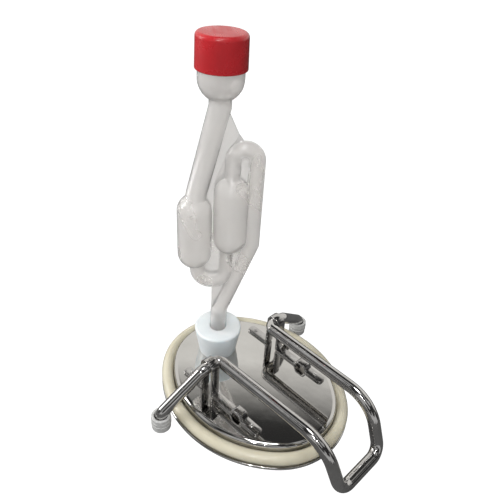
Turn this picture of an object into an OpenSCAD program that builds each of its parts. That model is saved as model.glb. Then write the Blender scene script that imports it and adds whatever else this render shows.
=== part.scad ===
// Oval keg lid with a bail clamp, a bored stopper and an S-shaped airlock.
// Origin: middle of the lid, on the underside of its flange. +X points to the bail's grip, +Z up.

/* [Lid] */
// Length of the flange along X
lid_length = 114; // [95:0.5:138]
// Width of the flange along Y
lid_width = 94.4; // [78:0.2:114]
// Thickness of the pressed sheet
sheet_t = 1.5; // [1:0.1:2]
// Height of the crown's flat top above the flange's underside
crown_h = 10; // [8:0.5:16]
// Distance from the flange's outline in to the crown's skirt
crown_inset = 6.6; // [5.6:0.1:9]
// Outside radius of the crown's rounded edge
crown_edge_r = 2.5; // [2.1:0.1:4]

/* [Gasket] */
// Thickness of the gasket's round section
gasket_d = 6.4; // [4:0.1:8]
// Gap between the gasket and the crown's skirt
gasket_gap = 0.1; // [0.05:0.05:0.3]

/* [Stopper] */
// Distance from the crown's rear skirt to the stopper's axis
stopper_inset = 20.4; // [18:0.2:23]
// Diameter of the stopper's top
stopper_top_d = 26.8; // [22:0.2:28]
// Diameter of the stopper's lower end
stopper_bottom_d = 18.6; // [16:0.2:20]
// Height of the stopper
stopper_h = 25; // [22:0.5:25]
// Height of the stopper's top above the crown
stopper_proud = 17; // [15:0.5:20]
// Radial gap between the stopper and the edge of the lid's hole
stopper_gap = 0.1; // [0.05:0.05:0.3]

/* [Brackets] */
// Width of the strap
strap_w = 5.2; // [4:0.1:6]
// Thickness of the strap
strap_t = 1.3; // [1:0.1:1.6]
// Length of the rear foot of the strap
rear_foot = 15; // [12:0.5:17]
// Length of the flat stretch in front of the arch
front_flat = 13.5; // [9:0.5:15]
// Length of the raised bump
bump_length = 9.5; // [8:0.5:12]
// Height of the bump
bump_h = 4.5; // [3:0.1:6]
// Length of the end tab in front of the bump
end_tab = 10; // [7:0.5:10.5]
// Diameter of a weld nugget
weld_d = 2.4; // [2:0.1:3]

/* [Bail] */
// Diameter of the wire
wire_d = 6.35; // [5:0.05:8]
// Distance of the hinge line behind the lid's middle
hinge_x = 8.2; // [6:0.2:10]
// Height of the hinge line above the crown
hinge_h = 19.1; // [15:0.1:24]
// Radial gap between the wire and the arch that it turns in
hinge_gap = 0.1; // [0.05:0.01:0.1]
// Gap between the bail's leg and the side of the strap
side_gap = 0.3; // [0.3:0.1:1]
// Distance from the middle line to the leg at the bracket
leg_y = 19.2; // [18:0.2:21]
// Distance from the middle line to the leg at its knee
knee_y = 18.2; // [15:0.2:19]
// Distance along X from the knee's corner to the grip
knee_run = 11.9; // [9:0.1:16]
// Radius of the knee's bend
knee_r = 20; // [12:1:22]
// Gap between the flange's front edge and the grip
grip_gap = 14.2; // [12:0.2:25]
// Distance from the middle line to the grip's corner
grip_y = 15.8; // [13:0.2:18]
// Radius of the grip's bends
grip_r = 7; // [5:0.5:9]
// Height of the grip's lowest side above the flange's underside
grip_lift = 0.4; // [0.3:0.1:6]
// Inside radius of the bend beside the strap
stub_inside = 0.4; // [0.3:0.1:0.8]
// Radius of the bends in the outer legs
outer_r = 5.5; // [4:0.5:7]
// Distance of the feet behind the hinge line
foot_x = 5.2; // [0:0.2:8]

/* [Feet] */
// Diameter of a foot cap
foot_d = 10; // [9:0.1:12]
// Height of a foot cap
foot_h = 9.2; // [8:0.2:13]
// Gap between the flange's outline and a foot's side
foot_gap = 1.7; // [1:0.1:4]
// Gap between the wire and the wall of the cap's socket
socket_gap = 0.3; // [0.1:0.05:0.5]
// Thickness of a foot cap's floor
foot_floor = 2.4; // [1.5:0.1:4]

/* [Airlock] */
// Outer diameter of the stem
stem_d = 9; // [7.5:0.1:11]
// Depth that the stem reaches into the stopper
stem_depth = 18; // [14:0.5:20]
// Radial gap between the stem and the stopper's bore
stem_gap = 0.05; // [0.01:0.01:0.1]
// Outer diameter of the riser and the bends
tube_d = 7.8; // [7:0.1:8.4]
// Outer diameter of the outlet tube
outlet_d = 10.2; // [8:0.1:11]
// Wall of every tube and chamber
tube_wall = 1; // [0.8:0.1:1.4]
// Thickness of the flat web between the tubes
web_t = 1.6; // [1.2:0.1:2.4]
// Outer diameter of both chambers
chamber_d = 17.4; // [15:0.2:17.8]
// Offset of the riser from the stem's axis
riser_x = 15.6; // [15:0.1:18]
// Offset of the first chamber from the stem's axis
inner_x = 4.4; // [4:0.1:6]
// Offset of the second chamber on the other side of the stem's axis
outer_x = 13.5; // [13.3:0.1:16]
// Height above the stopper at which the stem turns towards the riser
stem_turn = 11; // [8:0.5:14]
// Height above the stopper of the riser's lower end
riser_low = 57; // [54:0.5:60]
// Height above the stopper of the top bend's centre
top_bend = 103.6; // [101:0.2:106]
// Height above the stopper of the first chamber's lower end
inner_low = 52; // [50:0.5:54]
// Length of the first chamber
inner_length = 43; // [38:0.5:46]
// Height above the stopper of the second chamber's lower end
outer_low = 42; // [40:0.5:44]
// Length of the second chamber
outer_length = 42; // [40:0.5:46]
// Height above the stopper of the bottom bend's centre
bottom_bend = 40; // [38:0.5:42]
// Distance by which the outlet tube's lower end lies outside the second chamber's axis
outlet_shift = 1.7; // [0:0.1:3]
// Distance by which the bottom bend's ends lie inside the chambers' axes
bend_pinch = 1.5; // [0:0.1:2]

/* [Cup and cap] */
// Offset of the cup from the stem's axis, away from the riser
cup_x = 2.4; // [0:0.1:4]
// Outer diameter of the cup
cup_d = 20.5; // [18:0.1:24.6]
// Wall of the cup
cup_wall = 1.2; // [1:0.1:1.6]
// Height above the stopper of the centre of the cup's round bottom
cup_z = 141; // [139:0.5:144]
// Height of the cup's straight wall above that centre
cup_wall_h = 17.1; // [14:0.1:20]
// Height of the cap
cap_h = 14.8; // [12:0.2:15.6]
// Wall of the cap's skirt
cap_wall = 1.1; // [0.9:0.1:1.5]
// Thickness of the cap's top
cap_top_t = 1.5; // [1.2:0.1:2]
// Radius of the cap's rounded edge
cap_edge_r = 2.4; // [1.8:0.1:3]
// Radial gap between the cap and the cup
cap_gap = 0.1; // [0.05:0.05:0.2]
// Gap between the cap's underside and the cup's rim
rim_gap = 0.2; // [0.1:0.1:0.5]

/* [Hidden] */
$fn = 72;

// The oval is four arcs that meet at 45 degrees, with their centres this far from the middle
arc_offset = (lid_length - lid_width) / 2 / (2 - sqrt(2));

// Gap left between a straight tube and its half-round bend, and the extra radius of the ball
// that closes it
seam_gap = 0.2;
seam_ball = 0.03;

// How far the oval's end arcs are sunk into its side arcs, how much slimmer they are, and how far
// the rim of the crown's top laps over its flat plate
seam_sunk = 0.4;
seam_slim = 0.02;
plate_lap = 3;

// How far an elbow's ends are sunk into the straights, and how much smaller its radius is
elbow_sunk = 0.4;
elbow_thinner = 0.05;

wire_r = wire_d / 2;
stub_r = wire_r + stub_inside;
hinge_z = crown_h + hinge_h;
grip_x = lid_length / 2 + grip_gap + wire_r;
stopper_x = lid_length / 2 - crown_inset - stopper_inset;
strap_inner_y = leg_y + wire_r + side_gap;
strap_y = strap_inner_y + strap_w / 2;
arch_r = wire_r + hinge_gap;
outer_corner_y = strap_inner_y + strap_w + side_gap + outer_r * tan(22);
foot_y = lid_width / 2 + foot_gap + foot_d / 2;

stopper_top_z = crown_h + stopper_proud;
stopper_bottom_z = stopper_top_z - stopper_h;
airlock_turn = 45;
tube_r = tube_d / 2;
cup_r = cup_d / 2;
cup_rim = cup_z + cup_wall_h;
cap_r = cup_r + cap_gap + cap_wall;
cap_top_z = cup_rim + rim_gap + cap_top_t;

METAL = [0.78, 0.78, 0.8];
CREAM = [0.9, 0.86, 0.72];
MILKY = [0.93, 0.95, 0.97, 0.9];
CLEAR = [0.8, 0.8, 0.8, 0.6];
RED = [0.75, 0.13, 0.15];
GREY = [0.72, 0.73, 0.72];

function unit(v) = v / norm(v);
function turned(a, b) = acos(max(-1, min(1, unit(a) * unit(b))));
function mirrored(points) = [for (p = points) [p[0], -p[1], p[2]]];
function reversed(list) = [for (i = [len(list) - 1 : -1 : 0]) list[i]];

// Places its children with local X along x, local Z along z and the origin at p
module placed(p, x, z) {
    y = cross(z, x);
    multmatrix([[x[0], y[0], z[0], p[0]], [x[1], y[1], z[1], p[1]], [x[2], y[2], z[2], p[2]]])
        children();
}

// Round bar between two points
module bar(from, to, r) {
    z = unit(to - from);
    side = abs(z[2]) > 0.9 ? [1, 0, 0] : [0, 0, 1];
    placed(from, unit(cross(side, z)), z) cylinder(h = norm(to - from), r = r);
}

// Part of a torus that joins two bars which would meet at the corner. It is a little thinner than
// they are, and each of its ends is sunk into one of them.
module elbow(corner, before, after, bend_r, r) {
    turn = turned(before, after);
    sunk = elbow_sunk / bend_r * 180 / PI;
    normal = unit(cross(before, after));
    inward = cross(normal, unit(before));
    centre = corner - unit(before) * bend_r * tan(turn / 2) + inward * bend_r;
    placed(centre, -inward, normal) rotate(-sunk)
        rotate_extrude(angle = turn + 2 * sunk) translate([bend_r, 0]) circle(r - elbow_thinner);
}

// Round bar along a list of corners, where bends holds the radius at each corner
module bent_bar(corners, bends, r) {
    last = len(corners) - 1;
    step = [for (i = [0 : last - 1]) corners[i + 1] - corners[i]];
    cut = [for (i = [0 : last]) i == 0 || i == last ? 0
        : bends[i] * tan(turned(step[i - 1], step[i]) / 2)];
    for (i = [0 : last - 1])
        bar(corners[i] + unit(step[i]) * cut[i], corners[i + 1] - unit(step[i]) * cut[i + 1], r);
    for (i = [1 : last - 1]) elbow(corners[i], step[i - 1], step[i], bends[i], r);
}

// Sweeps a section round the oval: its x is measured outward from the flange's outline.
// The first child is the side arcs' section. The second is the end arcs', which is a little slimmer,
// and its ends are sunk into the side arcs.
module round_oval() {
    end_r = lid_length / 2 - arc_offset;
    sunk = seam_sunk / end_r * 180 / PI;
    for (side = [90, 270]) rotate(side) translate([-arc_offset, 0, 0])
        rotate_extrude(angle = 90, start = -45)
            translate([lid_width / 2 + arc_offset, 0]) children(0);
    for (side = [0, 180]) rotate(side) translate([arc_offset, 0, 0])
        rotate_extrude(angle = 90 + 2 * sunk, start = -45 - sunk)
            translate([end_r, 0]) children(1);
}

// Points round the oval, set in from the flange's outline
function oval_points(inset) = [for (quarter = [0 : 3], turn = [-45 : 15 : 30])
    let (end = quarter % 2 == 0, shift = end ? arc_offset : -arc_offset,
        r = (end ? lid_length : lid_width) / 2 - shift - inset, a = quarter * 90)
    [shift * cos(a) + r * cos(a + turn), shift * sin(a) + r * sin(a + turn)]];

// Section of the pressed sheet: flange, skirt, rounded crown edge and the rim of the crown's top.
// Its curved and upright walls are made slimmer by slim.
module sheet_section(slim) {
    skirt = crown_inset + slim;
    translate([-sheet_t / 2 - slim, sheet_t / 2]) circle(sheet_t / 2);
    translate([-crown_inset - sheet_t + slim, 0])
        square([crown_inset + sheet_t / 2 - 2 * slim, sheet_t]);
    translate([-crown_inset - sheet_t + slim, 0])
        square([sheet_t - 2 * slim, crown_h - crown_edge_r]);
    translate([-skirt - crown_edge_r, crown_h - crown_edge_r]) intersection() {
        difference() {
            circle(crown_edge_r);
            circle(crown_edge_r - sheet_t + 2 * slim);
        }
        square(crown_edge_r + 1);
    }
    translate([-skirt - crown_edge_r - plate_lap, crown_h - sheet_t])
        square([plate_lap, sheet_t]);
}

module lid_shell() {
    taper = (stopper_top_d - stopper_bottom_d) / 2 / stopper_h;
    hole_r = stopper_bottom_d / 2 + taper * (crown_h - stopper_bottom_z) + stopper_gap;
    color(METAL) difference() {
        union() {
            round_oval() {
                sheet_section(0);
                sheet_section(seam_slim);
            }
            translate([0, 0, crown_h - sheet_t]) linear_extrude(sheet_t)
                polygon(oval_points(crown_inset + crown_edge_r + plate_lap / 3));
        }
        translate([-stopper_x, 0, crown_h - 2 * sheet_t]) cylinder(h = 3 * sheet_t, r = hole_r);
    }
}

module gasket_ring() {
    r = gasket_d / 2;
    color(CREAM) translate([0, 0, sheet_t + r]) round_oval() {
        translate([-crown_inset + gasket_gap + r, 0]) circle(r);
        translate([-crown_inset + gasket_gap + r, 0]) circle(r - seam_slim);
    }
}

// Side view of the strap, from its rear foot over the arch to the end tab, starting at the hinge
module strap_profile() {
    low = -hinge_h;
    wall = arch_r + strap_t;
    bump_x = wall + front_flat;
    tab_x = bump_x + bump_length;
    difference() {
        union() {
            circle(wall);
            translate([-wall, low]) square([2 * wall, hinge_h]);
        }
        circle(arch_r);
        translate([-arch_r, low - 1]) square([2 * arch_r, hinge_h + 1]);
    }
    translate([-wall - rear_foot, low]) square([rear_foot + strap_t, strap_t]);
    translate([arch_r, low]) square([front_flat + strap_t, strap_t]);
    translate([bump_x, low]) difference() {
        polygon([[0, 0], [2, bump_h], [bump_length - 2, bump_h], [bump_length, 0]]);
        polygon([[strap_t, -1], [strap_t, 0], [2 + strap_t / 2, bump_h - strap_t],
            [bump_length - 2 - strap_t / 2, bump_h - strap_t], [bump_length - strap_t, 0],
            [bump_length - strap_t, -1]]);
    }
    translate([bump_x - 0.5, low]) square([strap_t + 0.5, strap_t]);
    translate([tab_x - strap_t, low]) square([end_tab + strap_t, strap_t]);
}

// Strap bracket on the +Y side
module bracket() {
    weld_h = 0.3;
    color(METAL) {
        translate([-hinge_x, strap_y + strap_w / 2, hinge_z]) rotate([90, 0, 0])
            linear_extrude(strap_w) strap_profile();
        for (x = [-arch_r - strap_t - rear_foot * 0.7,
                arch_r + strap_t + front_flat + bump_length + end_tab * 0.45])
            translate([x - hinge_x, strap_y, crown_h + strap_t])
                cylinder(h = weld_h, d = weld_d);
    }
}

module bracket_left() { mirror([0, 1, 0]) bracket(); }

module bracket_right() { bracket(); }

module bail_wire() {
    grip_z = grip_lift + wire_r;
    half = [[grip_x, grip_y, grip_z], [grip_x - knee_run, knee_y, hinge_z],
        [-hinge_x, leg_y, hinge_z], [-hinge_x, outer_corner_y, hinge_z],
        [-hinge_x - foot_x, foot_y, foot_h + 0.8], [-hinge_x - foot_x, foot_y, foot_floor]];
    half_bends = [grip_r, knee_r, stub_r, outer_r, outer_r, 0];
    color(METAL)
        bent_bar(concat(reversed(mirrored(half)), half),
            concat(reversed(half_bends), half_bends), wire_r);
}

// Foot cap on the +Y side: a cup over the wire's end with a rounded bottom edge and two ribs
module foot_cap() {
    edge = 1.2;
    rib = 0.25;
    color(GREY) translate([-hinge_x - foot_x, foot_y, 0]) rotate_extrude() difference() {
        union() {
            square([foot_d / 2 - edge, foot_h]);
            translate([0, edge]) square([foot_d / 2, foot_h - edge]);
            translate([foot_d / 2 - edge, edge]) circle(edge);
            for (z = [foot_h * 0.45, foot_h * 0.7]) translate([foot_d / 2, z]) circle(rib);
        }
        translate([-foot_d, -1]) square([foot_d, foot_h + 2]);
        translate([0, foot_floor]) square([wire_r + socket_gap, foot_h]);
    }
}

module foot_cap_left() { mirror([0, 1, 0]) foot_cap(); }

module foot_cap_right() { foot_cap(); }

module stopper() {
    bore_r = stem_d / 2 + stem_gap;
    color(MILKY) translate([-stopper_x, 0, stopper_bottom_z]) difference() {
        cylinder(h = stopper_h, d1 = stopper_bottom_d, d2 = stopper_top_d);
        translate([0, 0, -1]) cylinder(h = stopper_h + 2, r = bore_r);
    }
}

// Closed capsule that stands on z, for a chamber or for the space inside it
module capsule(x, z, length, r) {
    translate([x, 0, z]) rotate_extrude() intersection() {
        union() {
            translate([0, r]) circle(r);
            translate([0, r]) square([r, length - 2 * r]);
            translate([0, length - r]) circle(r);
        }
        square([r + 1, length]);
    }
}

// Half-round bend in the airlock's plane: side is 1 for a bend over the top and -1 for one below
module half_bend(x, z, bend_r, r, side) {
    translate([x, 0, z]) rotate([side * 90, 0, 0])
        rotate_extrude(angle = 180) translate([bend_r, 0]) circle(r);
}

// Tube between two points of the airlock's plane, with a ball that closes each end's joint
module tube(from, to, r) {
    start = [from[0], 0, from[1]];
    end = [to[0], 0, to[1]];
    bar(start, end, r);
    for (p = [start, end]) translate(p) sphere(r + seam_ball);
}

// Every passage of the airlock as a solid, with its outside shrunk by inset
module passages(inset) {
    top_r = (riser_x - inner_x) / 2;
    low_in = inner_x - bend_pinch;
    low_out = bend_pinch - outer_x;
    low_r = (low_in - low_out) / 2;
    stem_end = inset > 0 ? -stem_depth - 1 : -stem_depth;
    r = tube_r - inset;
    bar([0, 0, stem_end], [0, 0, stem_turn], stem_d / 2 - inset);
    translate([0, 0, stem_turn]) sphere(stem_d / 2 - inset + seam_ball);
    bar([0, 0, stem_turn], [riser_x, 0, riser_low], r);
    tube([riser_x, riser_low], [riser_x, top_bend - seam_gap], r);
    half_bend((riser_x + inner_x) / 2, top_bend, top_r, r, 1);
    tube([inner_x, top_bend - seam_gap], [inner_x, inner_low + inner_length - 5], r);
    tube([low_in, inner_low + 6], [low_in, bottom_bend + seam_gap], r);
    half_bend((low_in + low_out) / 2, bottom_bend, low_r, r, -1);
    tube([low_out, bottom_bend + seam_gap], [low_out, outer_low + 8], r);
    tube([-outer_x - outlet_shift, outer_low + outer_length - 10], [-cup_x, cup_z - cup_r - 2],
        outlet_d / 2 - inset);
    bar([-cup_x, 0, cup_z - cup_r - 2], [-cup_x, 0, cup_z - cup_r + 5], outlet_d / 2 - inset);
    capsule(inner_x, inner_low + inset, inner_length - 2 * inset, chamber_d / 2 - inset);
    capsule(-outer_x, outer_low + inset, outer_length - 2 * inset, chamber_d / 2 - inset);
}

// Round-bottomed cup, or the space in it
module cup(inset, extra) {
    r = cup_r - inset;
    translate([-cup_x, 0, cup_z]) rotate_extrude() union() {
        intersection() {
            circle(r);
            translate([0, -r]) square(r);
        }
        square([r, cup_wall_h + extra]);
    }
}

// Flat web that fills the outline of the tubes' centre lines
module web() {
    top = top_bend + (riser_x - inner_x) / 2;
    left = 0.3 - stem_d / 2;
    translate([0, web_t / 2, 0]) rotate([90, 0, 0]) linear_extrude(web_t)
        polygon([[left, 1.5], [0, 1.5], [0, stem_turn], [riser_x, riser_low], [riser_x, top_bend],
            [riser_x - 3, top - 1], [6.5, top + 7], [1, cup_z - cup_r - 3],
            [-cup_x, cup_z - cup_r], [-outer_x - outlet_shift, outer_low + outer_length - 10],
            [-outer_x, outer_low + 6], [inner_x - outer_x, bottom_bend - 9],
            [left, bottom_bend - 10]]);
}

module airlock_body() {
    color(CLEAR) translate([-stopper_x, 0, stopper_top_z]) rotate(airlock_turn) difference() {
        union() {
            passages(0);
            cup(0, 0);
            web();
        }
        passages(tube_wall);
        cup(cup_wall, 1);
    }
}

module airlock_cap() {
    inner_r = cup_r + cap_gap;
    color(RED) translate([-stopper_x, 0, stopper_top_z]) rotate(airlock_turn)
        translate([-cup_x, 0, cap_top_z - cap_h]) rotate_extrude() difference() {
            union() {
                square([cap_r, cap_h - cap_edge_r]);
                square([cap_r - cap_edge_r, cap_h]);
                translate([cap_r - cap_edge_r, cap_h - cap_edge_r]) circle(cap_edge_r);
            }
            translate([0, -1]) square([inner_r, cap_h - cap_top_t + 1]);
        }
}

lid_shell();
gasket_ring();
bracket_left();
bracket_right();
bail_wire();
foot_cap_left();
foot_cap_right();
stopper();
airlock_body();
airlock_cap();
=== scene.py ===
import math

import bmesh
import bpy
from mathutils import Matrix, Vector


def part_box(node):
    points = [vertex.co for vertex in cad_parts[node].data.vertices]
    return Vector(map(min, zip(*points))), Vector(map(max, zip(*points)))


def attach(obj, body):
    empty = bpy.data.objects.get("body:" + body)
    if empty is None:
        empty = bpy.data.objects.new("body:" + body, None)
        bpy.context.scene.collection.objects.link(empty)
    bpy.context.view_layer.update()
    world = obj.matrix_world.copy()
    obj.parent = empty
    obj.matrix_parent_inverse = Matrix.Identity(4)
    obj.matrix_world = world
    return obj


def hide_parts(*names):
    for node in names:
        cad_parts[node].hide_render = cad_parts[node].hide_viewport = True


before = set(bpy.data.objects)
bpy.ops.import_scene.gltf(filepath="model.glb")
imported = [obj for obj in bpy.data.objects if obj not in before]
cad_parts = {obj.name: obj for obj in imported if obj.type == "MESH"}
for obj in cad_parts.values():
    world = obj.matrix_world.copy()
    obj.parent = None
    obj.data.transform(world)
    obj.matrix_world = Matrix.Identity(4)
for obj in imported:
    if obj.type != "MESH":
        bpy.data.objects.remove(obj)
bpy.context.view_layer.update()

# Sizes in the dictionaries are millimetres and degrees; makePiece turns them into metres.
metresPerMm = 0.001
mergeDistance = 0.002
arcStep = 9  # largest turn between two points of a rounded corner
cornerGap = 0.001  # two rounded corners on one edge stop this short of meeting
levelTolerance = 0.01  # heights or radii closer than this count as the same
edgeSegments = 3


def boxMm(node):
    low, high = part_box(node)
    return Vector(low) / metresPerMm, Vector(high) / metresPerMm


def addNode(tree, kind, settings=None, **inputs):
    node = tree.nodes.new(kind)
    for key, value in (settings or {}).items():
        setattr(node, key, value)
    for key, value in inputs.items():
        node.inputs[key.replace("_", " ")].default_value = value
    return node


def join(tree, source, sourceSocket, target, targetSocket):
    tree.links.new(source.outputs[sourceSocket], target.inputs[targetSocket])


def mixedColour(node):
    return [socket for socket in node.outputs if socket.type == "RGBA"][0]


def newGroup(name, inputs, outputs):
    group = bpy.data.node_groups.new(name, "ShaderNodeTree")
    for label, default in inputs:
        socket = group.interface.new_socket(label, in_out="INPUT", socket_type="NodeSocketFloat")
        socket.default_value = default
    for label in outputs:
        group.interface.new_socket(label, in_out="OUTPUT", socket_type="NodeSocketFloat")
    return group, group.nodes.new("NodeGroupInput"), group.nodes.new("NodeGroupOutput")


def mottleGroup():
    # Soft cloudy variation, for colour, gloss and a slight wobble in the surface
    group, given, result = newGroup("mottle", [("Scale", 60.0), ("Detail", 3.0), ("Low", 0.35),
                                               ("High", 0.65)], ["Mask", "Height"])
    place = addNode(group, "ShaderNodeTexCoord")
    noise = addNode(group, "ShaderNodeTexNoise", Roughness=0.55)
    spread = addNode(group, "ShaderNodeMapRange")
    join(group, place, "Object", noise, "Vector")
    join(group, given, "Scale", noise, "Scale")
    join(group, given, "Detail", noise, "Detail")
    join(group, noise, "Fac", spread, "Value")
    join(group, given, "Low", spread, "From Min")
    join(group, given, "High", spread, "From Max")
    join(group, spread, "Result", result, "Mask")
    join(group, noise, "Fac", result, "Height")
    return group


# Each direction of wiping: its turn about Z in radians, and the stretch of its pattern
wipes = ((0.5, (0.03, 1.0, 1.0)), (-0.9, (1.0, 0.04, 0.6)))
scoreDepth = 0.00002


def scratchGroup():
    # Fine hairlines in two directions, as wiping leaves on polished metal
    group, given, result = newGroup("hairlines", [("Scale", 900.0), ("Threshold", 0.62)],
                                    ["Mask", "Height"])
    place = addNode(group, "ShaderNodeTexCoord")
    parts = []
    for turn, squeeze in wipes:
        turned = addNode(group, "ShaderNodeMapping", Rotation=(0.0, 0.0, turn))
        squeezed = addNode(group, "ShaderNodeMapping", Scale=squeeze)
        noise = addNode(group, "ShaderNodeTexNoise", Detail=2.0, Roughness=0.5)
        cut = addNode(group, "ShaderNodeMapRange", From_Max=0.8)
        join(group, place, "Object", turned, "Vector")
        join(group, turned, "Vector", squeezed, "Vector")
        join(group, squeezed, "Vector", noise, "Vector")
        join(group, given, "Scale", noise, "Scale")
        join(group, noise, "Fac", cut, "Value")
        join(group, given, "Threshold", cut, "From Min")
        parts.append(cut)
    both = addNode(group, "ShaderNodeMath", {"operation": "MAXIMUM"})
    join(group, parts[0], "Result", both, 0)
    group.links.new(parts[1].outputs["Result"], both.inputs[1])
    join(group, both, "Value", result, "Mask")
    join(group, both, "Value", result, "Height")
    return group


groups = {"mottle": mottleGroup(), "hairlines": scratchGroup()}


def useGroup(tree, name, **inputs):
    node = addNode(tree, "ShaderNodeGroup", {"node_tree": groups[name]})
    for key, value in inputs.items():
        node.inputs[key].default_value = value
    return node


def makeMaterial(name, look):
    # Every finish: cloudy colour, cloudy gloss with hairlines, and a shallow bump
    material = bpy.data.materials.new(name)
    material.use_nodes = True
    tree = material.node_tree
    tree.nodes.clear()
    output = addNode(tree, "ShaderNodeOutputMaterial")
    shader = addNode(tree, "ShaderNodeBsdfPrincipled")
    join(tree, shader, "BSDF", output, "Surface")
    for key, value in look["shader"].items():
        shader.inputs[key].default_value = value
    cloud = useGroup(tree, "mottle", **look["cloud"])
    colour = addNode(tree, "ShaderNodeMix", {"data_type": "RGBA"})
    colour.inputs["A"].default_value = (*look["colour"], 1.0)
    colour.inputs["B"].default_value = (*look["otherColour"], 1.0)
    tree.links.new(cloud.outputs["Mask"], colour.inputs[0])
    tree.links.new(mixedColour(colour), shader.inputs["Base Color"])
    lines = useGroup(tree, "hairlines", **look["lines"])
    smudge = addNode(tree, "ShaderNodeMapRange", To_Min=look["roughness"][0],
                     To_Max=look["roughness"][1])
    join(tree, cloud, "Mask", smudge, "Value")
    gloss = addNode(tree, "ShaderNodeMath", {"operation": "MULTIPLY_ADD", "use_clamp": True})
    join(tree, lines, "Mask", gloss, 0)
    gloss.inputs[1].default_value = look["lineGloss"]
    tree.links.new(smudge.outputs["Result"], gloss.inputs[2])
    join(tree, gloss, "Value", shader, "Roughness")
    wobble = addNode(tree, "ShaderNodeBump", Strength=look["bump"][0], Distance=look["bump"][1])
    scored = addNode(tree, "ShaderNodeBump", Strength=look["lineBump"], Distance=scoreDepth)
    join(tree, cloud, "Height", wobble, "Height")
    join(tree, lines, "Height", scored, "Height")
    join(tree, wobble, "Normal", scored, "Normal")
    join(tree, scored, "Normal", shader, "Normal")
    return material


finishes = {
    "polishedSteel": {
        "colour": (0.66, 0.65, 0.63), "otherColour": (0.60, 0.59, 0.57),
        "shader": {"Metallic": 1.0},
        "roughness": (0.03, 0.06), "lineGloss": 0.02, "bump": (0.08, 0.0006), "lineBump": 0.02,
        "cloud": {"Scale": 45.0}, "lines": {"Scale": 900.0, "Threshold": 0.64}},
    "strapSteel": {
        "colour": (0.56, 0.55, 0.54), "otherColour": (0.44, 0.43, 0.42),
        "shader": {"Metallic": 1.0},
        "roughness": (0.06, 0.16), "lineGloss": 0.15, "bump": (0.25, 0.0003), "lineBump": 0.15,
        "cloud": {"Scale": 160.0}, "lines": {"Scale": 1100.0, "Threshold": 0.58}},
    "brightWire": {
        "colour": (0.64, 0.63, 0.62), "otherColour": (0.54, 0.53, 0.52),
        "shader": {"Metallic": 1.0},
        "roughness": (0.05, 0.11), "lineGloss": 0.12, "bump": (0.22, 0.0004), "lineBump": 0.12,
        "cloud": {"Scale": 120.0}, "lines": {"Scale": 1000.0, "Threshold": 0.60}},
    "creamRubber": {
        "colour": (0.57, 0.535, 0.42), "otherColour": (0.51, 0.475, 0.365),
        "shader": {"Subsurface Weight": 0.12, "Subsurface Scale": 0.002,
                   "Subsurface Radius": (1.0, 0.8, 0.5), "Coat Weight": 0.25,
                   "Coat Roughness": 0.12},
        "roughness": (0.28, 0.42), "lineGloss": 0.05, "bump": (0.15, 0.0002), "lineBump": 0.05,
        "cloud": {"Scale": 90.0, "Detail": 5.0}, "lines": {"Scale": 500.0, "Threshold": 0.66}},
    "footPlastic": {
        "colour": (0.52, 0.52, 0.51), "otherColour": (0.44, 0.44, 0.43),
        "shader": {"Subsurface Weight": 0.25, "Subsurface Scale": 0.002,
                   "Subsurface Radius": (1.0, 1.0, 1.0)},
        "roughness": (0.30, 0.42), "lineGloss": 0.10, "bump": (0.2, 0.0002), "lineBump": 0.1,
        "cloud": {"Scale": 220.0}, "lines": {"Scale": 700.0, "Threshold": 0.62}},
    "milkySilicone": {
        "colour": (0.70, 0.735, 0.745), "otherColour": (0.64, 0.68, 0.70),
        "shader": {"Subsurface Weight": 0.55, "Subsurface Scale": 0.006,
                   "Subsurface Radius": (0.8, 0.95, 1.0)},
        "roughness": (0.36, 0.50), "lineGloss": 0.05, "bump": (0.2, 0.0002), "lineBump": 0.03,
        "cloud": {"Scale": 110.0, "Detail": 4.0}, "lines": {"Scale": 500.0, "Threshold": 0.66}},
    "cloudyPlastic": {
        "colour": (0.93, 0.915, 0.90), "otherColour": (0.90, 0.89, 0.88),
        "shader": {"Transmission Weight": 0.80, "IOR": 1.12, "Coat Weight": 1.0,
                   "Coat Roughness": 0.03, "Coat IOR": 1.45, "Specular IOR Level": 0.5},
        "roughness": (0.26, 0.34), "lineGloss": 0.05, "bump": (0.01, 0.0001), "lineBump": 0.001,
        "cloud": {"Scale": 70.0, "Detail": 0.5}, "lines": {"Scale": 500.0, "Threshold": 0.66}},
    "redPlastic": {
        "colour": (0.47, 0.020, 0.026), "otherColour": (0.42, 0.017, 0.022),
        "shader": {"Subsurface Weight": 0.06, "Subsurface Scale": 0.001,
                   "Subsurface Radius": (1.0, 0.2, 0.2)},
        "roughness": (0.22, 0.34), "lineGloss": 0.10, "bump": (0.2, 0.0002), "lineBump": 0.08,
        "cloud": {"Scale": 130.0}, "lines": {"Scale": 700.0, "Threshold": 0.60}},
}
materials = {name: makeMaterial(name, look) for name, look in finishes.items()}
print("materials made")


def roundedPath(corners):
    # Points of a path whose corners (x, z, radius) are rounded
    path = []
    for i, (x, z, radius) in enumerate(corners):
        here = Vector((x, z))
        if not radius:
            path.append(here)
            continue
        before = (here - Vector(corners[i - 1][:2])).normalized()
        after = (Vector(corners[(i + 1) % len(corners)][:2]) - here).normalized()
        turn = math.atan2(before.cross(after), before.dot(after))
        start = here - before * radius * math.tan(abs(turn) / 2)
        side = Vector((-before.y, before.x)) * math.copysign(1, turn)
        steps = max(2, math.ceil(math.degrees(abs(turn)) / arcStep))
        for k in range(steps + 1):
            a = abs(turn) * k / steps
            path.append(start + before * radius * math.sin(a) + side * radius * (1 - math.cos(a)))
    return path


def addChain(bm, points, closed=False):
    verts = [bm.verts.new(point) for point in points]
    edges = [bm.edges.new(pair) for pair in zip(verts, verts[1:])]
    if closed:
        edges.append(bm.edges.new((verts[-1], verts[0])))
    return verts + edges


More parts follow.
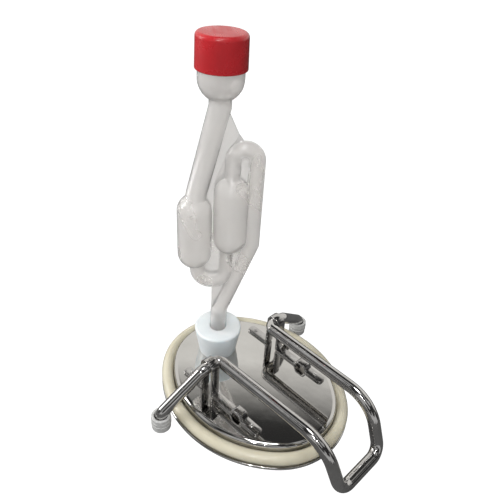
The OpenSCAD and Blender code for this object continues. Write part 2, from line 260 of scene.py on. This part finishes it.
def spinProfile(path, centre, steps):
    # Full turn of a profile (distance from the axis, height) about an upright axis
    bm = bmesh.new()
    chain = addChain(bm, [(centre[0] + x, centre[1], z) for x, z in path])
    bmesh.ops.spin(bm, geom=chain, cent=(centre[0], centre[1], 0), axis=(0, 0, 1),
                   angle=math.tau, steps=steps, use_merge=True)
    return bm


def makePiece(name, bm, finish, body, nodes, sharpAngle=38):
    bmesh.ops.remove_doubles(bm, verts=bm.verts, dist=mergeDistance)
    bmesh.ops.recalc_face_normals(bm, faces=bm.faces)
    bmesh.ops.scale(bm, vec=(metresPerMm,) * 3, verts=bm.verts)
    return finishPiece(name, bm, finish, body, nodes, sharpAngle)


def finishPiece(name, bm, finish, body, nodes, sharpAngle):
    mesh = bpy.data.meshes.new(name)
    bm.to_mesh(mesh)
    bm.free()
    mesh.shade_smooth()
    mesh.set_sharp_from_angle(angle=math.radians(sharpAngle))
    mesh.materials.append(materials[finish])
    piece = bpy.data.objects.new(name, mesh)
    bpy.context.scene.collection.objects.link(piece)
    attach(piece, body)
    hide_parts(*nodes)
    print(name, "made:", len(mesh.polygons), "faces")
    return piece


lid = {"sheet": 1.5, "crownHeight": 10.0, "crownInset": 6.6, "crownEdge": 2.5, "rootRadius": 0.9,
       "flatRim": 0.5, "stepsPerArc": 36, "holeEdge": 0.3, "holeRim": 1.2}
gasket = {"diameter": 6.4, "gap": 0.1, "seamHeight": 0.07, "seamWidth": 5.0, "sides": 48}
lidLow, lidHigh = boxMm("lid_shell")
lidLength, lidWidth = lidHigh.x - lidLow.x, lidHigh.y - lidLow.y
# The oval is four arcs that meet at 45 degrees
arcOffset = (lidLength - lidWidth) / 2 / (2 - math.sqrt(2))


def spinOval(bm, points, closed):
    # Points are (distance outward from the flange's outline, height)
    startRadius = lidLength / 2 - arcOffset
    slant = math.sqrt(0.5)
    chain = addChain(bm, [(arcOffset + (startRadius + x) * slant, -(startRadius + x) * slant, z)
                          for x, z in points], closed)
    for quarter in range(4):
        shift = arcOffset if quarter % 2 == 0 else -arcOffset
        turn = math.radians(90 * quarter)
        swept = bmesh.ops.spin(bm, geom=chain, axis=(0, 0, 1), angle=math.pi / 2,
                               cent=(shift * math.cos(turn), shift * math.sin(turn), 0),
                               steps=lid["stepsPerArc"])
        chain = swept["geom_last"]
    bmesh.ops.remove_doubles(bm, verts=bm.verts, dist=mergeDistance)


def makeLid():
    t, top, inset, edge = lid["sheet"], lid["crownHeight"], lid["crownInset"], lid["crownEdge"]
    root = lid["rootRadius"]
    flat = -inset - edge - lid["flatRim"]
    outer = [(-inset, top, edge), (-inset, t, root), (0, t, t / 2 - cornerGap),
             (0, 0, t / 2 - cornerGap), (-inset - t, 0, root + t),
             (-inset - t, top - t, edge - t)]
    path = roundedPath([(flat, top, 0)] + outer + [(flat, top - t, 0)])
    bm = bmesh.new()
    spinOval(bm, path, False)
    stopperLow, stopperHigh = boxMm("stopper")
    holeX = (stopperLow.x + stopperHigh.x) / 2
    holeRadius = holeRadiusAt(stopperLow, stopperHigh, top)
    count = 4 * lid["stepsPerArc"]
    for height in (top, top - t):
        # A loop just outside the hole keeps the crown's flat shading flat
        for radius in (holeRadius + lid["holeRim"], holeRadius):
            bmesh.ops.create_circle(bm, cap_ends=False, radius=radius, segments=count,
                                    matrix=Matrix.Translation((holeX, 0, height))
                                    @ Matrix.Rotation(-math.pi / 4, 4, "Z"))
            loops = [e for e in bm.edges if len(e.link_faces) < 2
                     and all(abs(v.co.z - height) < levelTolerance for v in e.verts)]
            bmesh.ops.bridge_loops(bm, edges=loops)
    bmesh.ops.bridge_loops(bm, edges=[e for e in bm.edges if e.is_boundary])
    middle = Vector((holeX, 0))
    rim = [e for e in bm.edges
           if all(abs((v.co.xy - middle).length - holeRadius) < levelTolerance for v in e.verts)
           and abs(e.verts[0].co.z - e.verts[1].co.z) < levelTolerance]
    bmesh.ops.bevel(bm, geom=rim, offset=lid["holeEdge"], segments=edgeSegments, profile=0.5,
                    affect="EDGES", material=-1)
    return makePiece("lidShell", bm, "polishedSteel", "lid", ["lid_shell"], 50)


def holeRadiusAt(low, high, height):
    # Narrower than the stopper at this height: the hole's edge lies inside the stopper
    share = (height - low.z) / (high.z - low.z)
    return (stopper["bottomDiameter"] / 2 * (1 - share) + (high.x - low.x) / 4 * share
            + stopper["gap"])


def makeGasket():
    r = gasket["diameter"] / 2
    points = []
    for i in range(gasket["sides"]):
        a = math.tau * i / gasket["sides"]
        off = math.degrees(math.atan2(math.sin(a), math.cos(a))) / gasket["seamWidth"]
        swell = gasket["seamHeight"] * math.exp(-off * off)
        points.append((-lid["crownInset"] + gasket["gap"] + r + (r + swell) * math.cos(a),
                       lid["sheet"] + r + r * math.sin(a)))
    bm = bmesh.new()
    spinOval(bm, points, True)
    return makePiece("gasketRing", bm, "creamRubber", "lid", ["gasket_ring"], 60)


bail = {"wire": 6.35, "hingeX": 8.2, "hingeHeight": 19.1, "legY": 19.2, "kneeY": 18.2,
        "kneeRun": 11.9, "kneeRadius": 20.0, "gripX": 74.375, "gripY": 15.8, "gripRadius": 7.0,
        "gripLift": 0.4, "stubInside": 0.4, "outerRadius": 5.5, "outerTurn": 22.0, "footX": 5.2,
        "footY": 53.9, "footFloor": 2.4, "footTop": 9.2, "endRise": 0.8, "sides": 40,
        "bendStep": 5}
strap = {"width": 5.2, "thickness": 1.3, "sideGap": 0.3, "hingeGap": 0.1, "rearFoot": 15.0,
         "frontFlat": 13.5, "bumpLength": 9.5, "bumpHeight": 4.5, "bumpRun": 2.0, "endTab": 10.0,
         "bend": 0.5, "edge": 0.22, "endRadius": 1.6, "weld": 2.4, "weldHeight": 0.28,
         "weldSink": 0.1, "weldSteps": 28, "rearWeldAt": 0.7, "frontWeldAt": 0.45,
         "sharpFrom": 60}
# Spot weld from its middle outward, as shares of its radius and its height
weldProfile = ((0, 0.35), (0.44, 0.4), (0.72, 1), (0.92, 0.7))
hingeZ = lid["crownHeight"] + bail["hingeHeight"]
wireRadius = bail["wire"] / 2
strapInnerY = bail["legY"] + wireRadius + strap["sideGap"]
strapY = strapInnerY + strap["width"] / 2


def makeBracket(name, side, node):
    t = strap["thickness"]
    low = lid["crownHeight"]
    arch = wireRadius + strap["hingeGap"]
    bump = arch + t + strap["frontFlat"]
    tab = bump + strap["bumpLength"]
    inner, outer = strap["bend"], strap["bend"] + t
    shoulder, ceiling = strap["bumpRun"] + t / 2, low + strap["bumpHeight"] - t
    # Underside of the strap, from its rear end over the arch to its front end
    corners = [(-arch - t - strap["rearFoot"], low, 0), (-arch, low, outer),
               (-arch, hingeZ + arch, arch - cornerGap), (arch, hingeZ + arch, arch - cornerGap),
               (arch, low, outer), (bump + t, low, outer), (bump + shoulder, ceiling, inner),
               (tab - shoulder, ceiling, inner), (tab - t, low, outer),
               (tab + strap["endTab"], low, 0)]
    bm = bmesh.new()
    chain = addChain(bm, [(x - bail["hingeX"], strapInnerY, z) for x, z in roundedPath(corners)])
    edges = [g for g in chain if isinstance(g, bmesh.types.BMEdge)]
    swept = bmesh.ops.extrude_edge_only(bm, edges=edges)
    bmesh.ops.translate(bm, vec=(0, strap["width"], 0),
                        verts=[g for g in swept["geom"] if isinstance(g, bmesh.types.BMVert)])
    # The corners of both ends are rounded in plan
    ends = [v for v in bm.verts if len(v.link_edges) == 2]
    bmesh.ops.bevel(bm, geom=ends, offset=strap["endRadius"], segments=5, profile=0.5,
                    affect="VERTICES", material=-1)
    # The wall grows from the underside, away from the wire and the lid
    bmesh.ops.recalc_face_normals(bm, faces=bm.faces)
    rear = min(bm.faces, key=lambda face: face.calc_center_median().x)
    if rear.normal.z > 0:
        bmesh.ops.reverse_faces(bm, faces=bm.faces[:])
    bmesh.ops.solidify(bm, geom=bm.faces[:], thickness=t)
    sharpFrom = math.radians(strap["sharpFrom"])
    rim = [e for e in bm.edges if e.is_manifold and e.calc_face_angle(0) > sharpFrom]
    bmesh.ops.bevel(bm, geom=rim, offset=strap["edge"], segments=edgeSegments, profile=0.5,
                    affect="EDGES", material=-1, clamp_overlap=True)
    high, r, top = low + t, strap["weld"] / 2, strap["weldHeight"]
    for x in (-arch - t - strap["rearFoot"] * strap["rearWeldAt"],
              tab + strap["endTab"] * strap["frontWeldAt"]):
        middle = x - bail["hingeX"]
        nugget = [(r * out, top * up) for out, up in weldProfile] + [(r, -strap["weldSink"])]
        chain = addChain(bm, [(middle + a, strapY, high + b) for a, b in nugget])
        bmesh.ops.spin(bm, geom=chain, cent=(middle, strapY, 0), axis=(0, 0, 1),
                       angle=math.tau, steps=strap["weldSteps"], use_merge=True)
    bmesh.ops.scale(bm, vec=(1, side, 1), verts=bm.verts)
    return makePiece(name, bm, "strapSteel", "lid", [node], 40)


def bendWire(corners, radii):
    # A ring of the wire's section, pushed along the straights and spun round the bends
    bm = bmesh.new()
    points = [Vector(c) for c in corners]
    heading = (points[1] - points[0]).normalized()
    aim = heading.to_track_quat("Z", "Y").to_matrix().to_4x4()
    ring = bmesh.ops.create_circle(bm, cap_ends=False, radius=wireRadius, segments=bail["sides"],
                                   matrix=Matrix.Translation(points[0]) @ aim)
    edges = list({e for v in ring["verts"] for e in v.link_edges})
    bmesh.ops.edgeloop_fill(bm, edges=edges)
    here = points[0]
    for i in range(1, len(points)):
        ahead = (points[i] - points[i - 1]).normalized()
        cut = 0
        if i < len(points) - 1:
            after = (points[i + 1] - points[i]).normalized()
            turn = ahead.angle(after)
            cut = radii[i] * math.tan(turn / 2)
        stop = points[i] - ahead * cut
        if (stop - here).length > levelTolerance:
            moved = bmesh.ops.extrude_edge_only(bm, edges=edges)["geom"]
            bmesh.ops.translate(bm, vec=stop - here,
                                verts=[g for g in moved if isinstance(g, bmesh.types.BMVert)])
            edges = [g for g in moved if isinstance(g, bmesh.types.BMEdge)
                     and all(v in moved for v in g.verts)]
        if i < len(points) - 1:
            axis = ahead.cross(after).normalized()
            middle = stop + axis.cross(ahead) * radii[i]
            verts = list({v for e in edges for v in e.verts})
            steps = max(4, math.ceil(math.degrees(turn) / bail["bendStep"]))
            swept = bmesh.ops.spin(bm, geom=verts + edges, cent=middle, axis=axis, angle=turn,
                                   steps=steps)
            edges = [g for g in swept["geom_last"] if isinstance(g, bmesh.types.BMEdge)]
            here = points[i] + after * cut
    bmesh.ops.edgeloop_fill(bm, edges=edges)
    return bm


def makeBail():
    b = bail
    outerY = (strapInnerY + strap["width"] + strap["sideGap"]
              + b["outerRadius"] * math.tan(math.radians(b["outerTurn"])))
    half = [(b["gripX"], b["gripY"], b["gripLift"] + wireRadius),
            (b["gripX"] - b["kneeRun"], b["kneeY"], hingeZ),
            (-b["hingeX"], b["legY"], hingeZ), (-b["hingeX"], outerY, hingeZ),
            (-b["hingeX"] - b["footX"], b["footY"], b["footTop"] + b["endRise"]),
            (-b["hingeX"] - b["footX"], b["footY"], b["footFloor"])]
    radii = [b["gripRadius"], b["kneeRadius"], wireRadius + b["stubInside"], b["outerRadius"],
             b["outerRadius"], 0]
    corners = [(x, -y, z) for x, y, z in reversed(half)] + half
    bm = bendWire(corners, radii[::-1] + radii)
    return makePiece("bailWire", bm, "brightWire", "bail", ["bail_wire"], 45)


foot = {"radius": 5.0, "edge": 1.2, "rib": 0.22, "ribsAt": (0.45, 0.70), "ribRoot": 0.3,
        "lip": 0.5, "socketGap": 0.3, "socketEdge": 0.4, "steps": 72}


def makeFootCap(name, node):
    low, high = boxMm(node)
    centre = ((low.x + high.x) / 2, (low.y + high.y) / 2)
    r, top, bore = foot["radius"], high.z, wireRadius + foot["socketGap"]
    rib, root = foot["rib"], foot["ribRoot"]
    corners = [(0, 0, 0), (r, 0, foot["edge"])]
    for share in foot["ribsAt"]:
        height = top * share
        corners += [(r, height - 2 * rib, root), (r + rib, height - rib, rib),
                    (r + rib, height + rib, rib), (r, height + 2 * rib, root)]
    corners += [(r, top, foot["lip"]), (bore, top, foot["lip"]),
                (bore, bail["footFloor"], foot["socketEdge"]), (0, bail["footFloor"], 0)]
    bm = spinProfile(roundedPath(corners), centre, foot["steps"])
    return makePiece(name, bm, "footPlastic", "bail", [node], 45)


stopper = {"bottomDiameter": 18.6, "gap": 0.1, "topEdge": 1.1, "bottomEdge": 1.4, "bore": 9.1,
           "boreEdge": 0.5, "steps": 120}


def makeStopper():
    low, high = boxMm("stopper")
    centre = ((low.x + high.x) / 2, (low.y + high.y) / 2)
    top, bottom = (high.x - low.x) / 2, stopper["bottomDiameter"] / 2
    bore = stopper["bore"] / 2
    corners = [(bore, low.z, stopper["boreEdge"]), (bottom, low.z, stopper["bottomEdge"]),
               (top, high.z, stopper["topEdge"]), (bore, high.z, stopper["boreEdge"])]
    path = roundedPath(corners)
    bm = bmesh.new()
    chain = addChain(bm, [(centre[0] + x, centre[1], z) for x, z in path], closed=True)
    bmesh.ops.spin(bm, geom=chain, cent=(*centre, 0), axis=(0, 0, 1), angle=math.tau,
                   steps=stopper["steps"], use_merge=True)
    return makePiece("stopper", bm, "milkySilicone", "stopper", ["stopper"], 60)


airlock = {"merge": 0.001, "sharpAngle": 32}


def makeAirlock():
    # One moulding: the solid's own surface, with its split corners merged
    bm = bmesh.new()
    bm.from_mesh(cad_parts["airlock_body"].data)
    bmesh.ops.remove_doubles(bm, verts=bm.verts, dist=airlock["merge"] * metresPerMm)
    return finishPiece("airlock", bm, "cloudyPlastic", "airlock",
                       ["airlock_body"], airlock["sharpAngle"])


cap = {"wall": 1.1, "topThickness": 1.5, "edge": 2.0, "innerEdge": 1.0,
       "taper": 0.25, "lip": 0.3, "steps": 120}


def makeCap():
    low, high = boxMm("airlock_cap")
    centre = ((low.x + high.x) / 2, (low.y + high.y) / 2)
    r = (high.x - low.x) / 2
    inner = r - cap["wall"]
    corners = [(0, high.z, 0), (r - cap["taper"], high.z, cap["edge"]), (r, low.z, cap["lip"]),
               (inner, low.z, cap["lip"]),
               (inner, high.z - cap["topThickness"], cap["innerEdge"]),
               (0, high.z - cap["topThickness"], 0)]
    bm = spinProfile(roundedPath(corners), centre, cap["steps"])
    return makePiece("airlockCap", bm, "redPlastic", "cap", ["airlock_cap"], 50)


makeLid()
makeGasket()
makeBracket("bracketLeft", -1, "bracket_left")
makeBracket("bracketRight", 1, "bracket_right")
makeBail()
makeFootCap("footCapLeft", "foot_cap_left")
makeFootCap("footCapRight", "foot_cap_right")
makeStopper()
makeAirlock()
makeCap()


stage = {"floor": 8.0, "white": 1.1, "seenThrough": 0.72, "throughColour": (1.0, 0.985, 0.96),
         "bounceGrey": 0.12}


def makeFloor():
    bm = bmesh.new()
    bmesh.ops.create_grid(bm, x_segments=1, y_segments=1, size=stage["floor"] / 2)
    mesh = bpy.data.meshes.new("floor")
    bm.to_mesh(mesh)
    bm.free()
    material = bpy.data.materials.new("floorPaper")
    material.use_nodes = True
    tree = material.node_tree
    tree.nodes.clear()
    output = addNode(tree, "ShaderNodeOutputMaterial")
    paper = addNode(tree, "ShaderNodeBsdfDiffuse", Color=(stage["bounceGrey"],) * 3 + (1.0,))
    white = addNode(tree, "ShaderNodeEmission", Color=(1.0, 1.0, 1.0, 1.0),
                    Strength=stage["white"])
    behind = addNode(tree, "ShaderNodeEmission", Color=(*stage["throughColour"], 1.0),
                     Strength=stage["seenThrough"])
    path = addNode(tree, "ShaderNodeLightPath")
    through = addNode(tree, "ShaderNodeMixShader")
    direct = addNode(tree, "ShaderNodeMixShader")
    join(tree, path, "Is Transmission Ray", through, 0)
    tree.links.new(paper.outputs[0], through.inputs[1])
    tree.links.new(behind.outputs[0], through.inputs[2])
    join(tree, path, "Is Camera Ray", direct, 0)
    tree.links.new(through.outputs[0], direct.inputs[1])
    tree.links.new(white.outputs[0], direct.inputs[2])
    join(tree, direct, "Shader", output, "Surface")
    mesh.materials.append(material)
    floor = bpy.data.objects.new("floor", mesh)
    bpy.context.scene.collection.objects.link(floor)


# The sky is pale low down and dark high up on the side it faces, and patchy behind the camera
sky = {"pale": 0.88, "warmth": (1.0, 0.985, 0.95), "dark": 0.035, "low": 0.725, "high": 0.79,
       "towards": (-0.67, 0.74), "sideBlend": 0.3, "room": 0.03, "patch": 0.55,
       "patchScale": 3.2, "patchFrom": 0.47, "patchTo": 0.56}


def makeSky():
    world = bpy.data.worlds.new("studio")
    world.use_nodes = True
    tree = world.node_tree
    tree.nodes.clear()
    output = addNode(tree, "ShaderNodeOutputWorld")
    glow = addNode(tree, "ShaderNodeBackground", Strength=1.0)
    place = addNode(tree, "ShaderNodeTexCoord")
    split = addNode(tree, "ShaderNodeSeparateXYZ")
    join(tree, place, "Generated", split, "Vector")
    height = addNode(tree, "ShaderNodeMapRange", From_Min=sky["low"], From_Max=sky["high"])
    join(tree, split, "Z", height, "Value")
    facing = addNode(tree, "ShaderNodeVectorMath", {"operation": "DOT_PRODUCT"})
    facing.inputs[1].default_value = (*sky["towards"], 0)
    join(tree, place, "Generated", facing, 0)
    side = addNode(tree, "ShaderNodeMapRange", From_Min=0.0, From_Max=sky["sideBlend"])
    join(tree, facing, "Value", side, "Value")
    band = addNode(tree, "ShaderNodeMix", {"data_type": "RGBA"})
    band.inputs["A"].default_value = (*(sky["pale"] * share for share in sky["warmth"]), 1)
    band.inputs["B"].default_value = (sky["dark"],) * 3 + (1,)
    tree.links.new(height.outputs["Result"], band.inputs[0])
    whole = addNode(tree, "ShaderNodeMix", {"data_type": "RGBA"})
    # The patches show as bands in the wire
    patches = addNode(tree, "ShaderNodeTexNoise", Scale=sky["patchScale"], Detail=1.0)
    edge = addNode(tree, "ShaderNodeMapRange", From_Min=sky["patchFrom"], From_Max=sky["patchTo"],
                   To_Min=sky["room"], To_Max=sky["patch"])
    join(tree, place, "Generated", patches, "Vector")
    join(tree, patches, "Fac", edge, "Value")
    tree.links.new(edge.outputs["Result"], whole.inputs["A"])
    tree.links.new(side.outputs["Result"], whole.inputs[0])
    tree.links.new(mixedColour(band), whole.inputs["B"])
    tree.links.new(mixedColour(whole), glow.inputs["Color"])
    # The camera itself sees plain paper above the floor's edge
    plain = addNode(tree, "ShaderNodeBackground", Color=(1.0, 1.0, 1.0, 1.0),
                    Strength=stage["white"])
    path = addNode(tree, "ShaderNodeLightPath")
    direct = addNode(tree, "ShaderNodeMixShader")
    join(tree, path, "Is Camera Ray", direct, 0)
    tree.links.new(glow.outputs[0], direct.inputs[1])
    tree.links.new(plain.outputs[0], direct.inputs[2])
    join(tree, direct, "Shader", output, "Surface")
    bpy.context.scene.world = world


lamps = {
    # name: (place, width, height, watts, shows in gloss), all aimed at the object; metres
    "key": ((0.70, -0.85, 0.95), 0.7, 0.7, 8.8, False),
    "fill": ((-0.9, -0.6, 0.5), 0.7, 0.7, 8.0, False),
    "overhead": ((0.12, -0.16, 1.25), 0.36, 0.36, 2.3, True),
    "window": ((-0.75, -0.55, 0.42), 0.12, 0.55, 2.4, True),
    "spotA": ((0.42, -0.80, 1.00), 0.05, 0.05, 2.2, True),
    "spotB": ((0.62, -0.72, 1.02), 0.035, 0.035, 1.1, True),
    "spotC": ((0.40, -0.70, 1.14), 0.035, 0.035, 1.1, True),
}


lampAim = (0, 0, 0.08)


def makeLamps():
    for name, (place, width, height, watts, inGloss) in lamps.items():
        light = bpy.data.lights.new(name, "AREA")
        light.shape = "RECTANGLE"
        light.size, light.size_y, light.energy = width, height, watts
        lamp = bpy.data.objects.new(name, light)
        aim = (Vector(lampAim) - Vector(place)).to_track_quat("-Z", "Y")
        lamp.matrix_world = Matrix.Translation(place) @ aim.to_matrix().to_4x4()
        lamp.visible_glossy = inGloss
        bpy.context.scene.collection.objects.link(lamp)


view = {"place": (134.5, -156.0, 238.2), "azimuth": 42.7, "elevation": 34.85, "roll": 4.19,
        "lens": 38.5, "sensor": 36, "clipStart": 0.01}


def makeCamera():
    azimuth, elevation, roll = (math.radians(view[k]) for k in ("azimuth", "elevation", "roll"))
    back = Vector((math.sin(azimuth) * math.cos(elevation),
                   -math.cos(azimuth) * math.cos(elevation), math.sin(elevation)))
    level = (-back).cross(Vector((0, 0, 1))).normalized()
    above = level.cross(-back)
    right = level * math.cos(roll) + above * math.sin(roll)
    up = above * math.cos(roll) - level * math.sin(roll)
    data = bpy.data.cameras.new("camera")
    data.lens, data.sensor_width = view["lens"], view["sensor"]
    data.clip_start = view["clipStart"]
    camera = bpy.data.objects.new("camera", data)
    turn = Matrix((right, up, back)).transposed().to_4x4()
    camera.matrix_world = Matrix.Translation(Vector(view["place"]) * metresPerMm) @ turn
    bpy.context.scene.collection.objects.link(camera)
    bpy.context.scene.camera = camera


makeFloor()
makeSky()
makeLamps()
makeCamera()
bpy.context.scene.view_settings.view_transform = "Standard"
print("floor, light and camera made")
